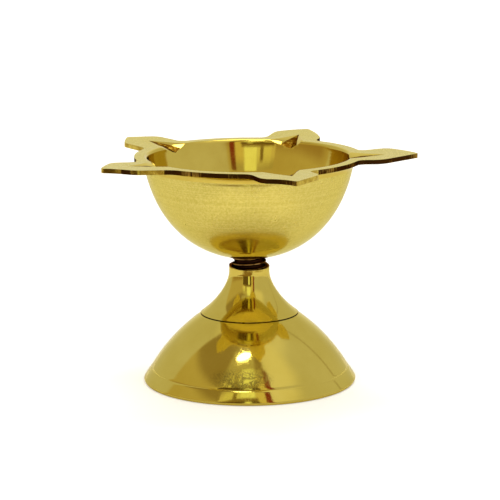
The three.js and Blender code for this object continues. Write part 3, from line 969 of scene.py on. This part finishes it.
def makeWorld(cloth, zones):  # a cloth tent for reflections, brown where it is open, and white behind
    world = bpy.data.worlds.new("clothTent")
    bpy.context.scene.world = world
    world.use_nodes = True
    tree = world.node_tree
    tree.nodes.clear()
    direction = addNode(tree, "ShaderNodeTexCoord").outputs["Generated"]
    turned = addNode(tree, "ShaderNodeVectorRotate", {
        "Vector": direction, "Angle": -side}, rotation_type="Z_AXIS")
    parts = addNode(tree, "ShaderNodeSeparateXYZ", {0: turned.outputs[0]})
    towards = addNode(tree, "ShaderNodeMath", {0: parts.outputs[1], 1: -1.0}, operation="MULTIPLY")
    turn = addNode(tree, "ShaderNodeMath", {
        0: parts.outputs[0], 1: towards.outputs[0]}, operation="ARCTAN2")
    rise = addNode(tree, "ShaderNodeMath", {0: parts.outputs[2]}, operation="ARCSINE")
    degrees = [addNode(tree, "ShaderNodeMath", {
        0: angle.outputs[0], 1: 180 / math.pi}, operation="MULTIPLY").outputs[0] for angle in (turn, rise)]
    mirrored = layZones(tree, cloth, *degrees, zones)
    rays = addNode(tree, "ShaderNodeLightPath")
    plain = addNode(tree, "ShaderNodeMix", {
        0: rays.outputs["Is Camera Ray"], 6: mirrored, 7: (1, 1, 1, 1)}, data_type="RGBA")
    sky = addNode(tree, "ShaderNodeBackground", {"Color": plain.outputs[2], "Strength": 1.0})
    addNode(tree, "ShaderNodeOutputWorld", {"Surface": sky.outputs[0]})


makeWorld(cloth, tent)

slit = {"away": 95, "left": -68, "right": 45, "bottom": 25, "top": 138}
slitColour = (0.58, 0.53, 0.32)
slitZones = [  # mm to the right of the lamp's axis, and up
    {"limits": ((-90, -54), (0, 115)), "soft": (3, 30), "colour": (0.85, 0.8, 0.5)},
    {"limits": ((-56, -21), (0, 118)), "soft": (4, 40), "colour": (0.95, 0.95, 0.55)},
    {"limits": ((-20, 11), (0, 160)), "soft": (6, 10), "colour": (1.15, 1.25, 0.8)},
    {"limits": ((11, 32), (0, 115)), "soft": (5, 30), "colour": (0.85, 0.76, 0.38)},
    {"limits": ((-35, -27), (85, 116)), "soft": (2, 14), "colour": (0.3, 0.22, 0.09)},
    {"limits": ((-64, 16), (78, 88)), "soft": (4, 3), "colour": (0.32, 0.23, 0.09)},
    {"limits": ((-64, -9), (0, 80)), "soft": (4, 3), "colour": (0.16, 0.11, 0.04)},
    {"limits": ((3, 18), (0, 80)), "soft": (4, 3), "colour": (0.16, 0.11, 0.04)},
    {"limits": ((32, 60), (0, 160)), "soft": (1.5, 10), "colour": (0.26, 0.11, 0.045)},
    {"limits": ((32, 60), (0, 112)), "soft": (1.5, 30), "colour": (0.28, 0.05, 0.025)},
]


def makeSlit(s, colour, zones):  # the tent's front stands close, so the brass mirrors it as a near thing
    bpy.ops.object.select_all(action="DESELECT")
    bpy.ops.mesh.primitive_plane_add(size=mm, location=(0, 0, 0), rotation=(math.radians(90), 0, 0))
    front = bpy.context.object
    front.name = "tentOpening"
    bpy.ops.transform.resize(value=(s["right"] - s["left"], 1, s["top"] - s["bottom"]))
    middle = Vector(((s["left"] + s["right"]) / 2, -s["away"], (s["bottom"] + s["top"]) / 2)) * mm
    front.location = Matrix.Rotation(side, 3, "Z") @ middle + Vector((axisX, 0, 0))
    front.rotation_euler.z = side
    front.visible_camera = False
    front.visible_diffuse = False
    front.visible_shadow = False
    opening = newFinish("tentOpening")
    tree = opening.node_tree
    place = addNode(tree, "ShaderNodeTexCoord").outputs["Generated"]
    parts = addNode(tree, "ShaderNodeSeparateXYZ", {0: place})
    across = addNode(tree, "ShaderNodeMapRange", {
        "Value": parts.outputs[0], "To Min": s["left"], "To Max": s["right"]})
    up = addNode(tree, "ShaderNodeMapRange", {
        "Value": parts.outputs[1], "To Min": s["bottom"], "To Max": s["top"]})
    mirrored = layZones(tree, colour, across.outputs[0], up.outputs[0], zones)
    glow = addNode(tree, "ShaderNodeEmission", {"Color": mirrored})
    addNode(tree, "ShaderNodeOutputMaterial", {"Surface": glow.outputs[0]})
    front.data.materials.append(opening)


makeSlit(slit, slitColour, slitZones)

softbox = {
    "azimuth": -16.5, "elevation": 68, "distance": 0.6, "width": 0.145, "height": 0.058, "roll": 24,
    "watts": 0.32,
}


def makeSoftbox(box):  # its mirror image is the highlight on the foot's front
    around = math.radians(box["azimuth"]) + side
    up = math.radians(box["elevation"])
    aim = Vector((math.sin(around) * math.cos(up), -math.cos(around) * math.cos(up), math.sin(up)))
    bpy.ops.object.light_add(type="AREA", location=aim * box["distance"])
    lamp = bpy.context.object
    lamp.name = "softbox"
    facing = aim.to_track_quat("Z", "Y").to_matrix()
    lamp.rotation_euler = (facing @ Matrix.Rotation(math.radians(box["roll"]), 3, "Z")).to_euler()
    lamp.data.shape = "ELLIPSE"
    lamp.data.size = box["width"]
    lamp.data.size_y = box["height"]
    lamp.data.energy = box["watts"]


def makeCamera(c):
    away = c["distance"] * mm
    place = (axisX + away * math.sin(side), -away * math.cos(side), c["height"] * mm)
    bpy.ops.object.camera_add(location=place)
    camera = bpy.context.object
    facing = Euler((math.radians(90 - c["pitch"]), 0, math.radians(c["heading"]))).to_matrix()
    camera.rotation_euler = (facing @ Matrix.Rotation(math.radians(c["roll"]), 3, "Z")).to_euler()
    camera.data.lens = c["lens"]
    camera.data.sensor_width = c["sensorWidth"]
    bpy.context.scene.camera = camera


makeSoftbox(softbox)
makeCamera(shot)
bpy.context.scene.view_settings.view_transform = "Standard"
print("stage set")
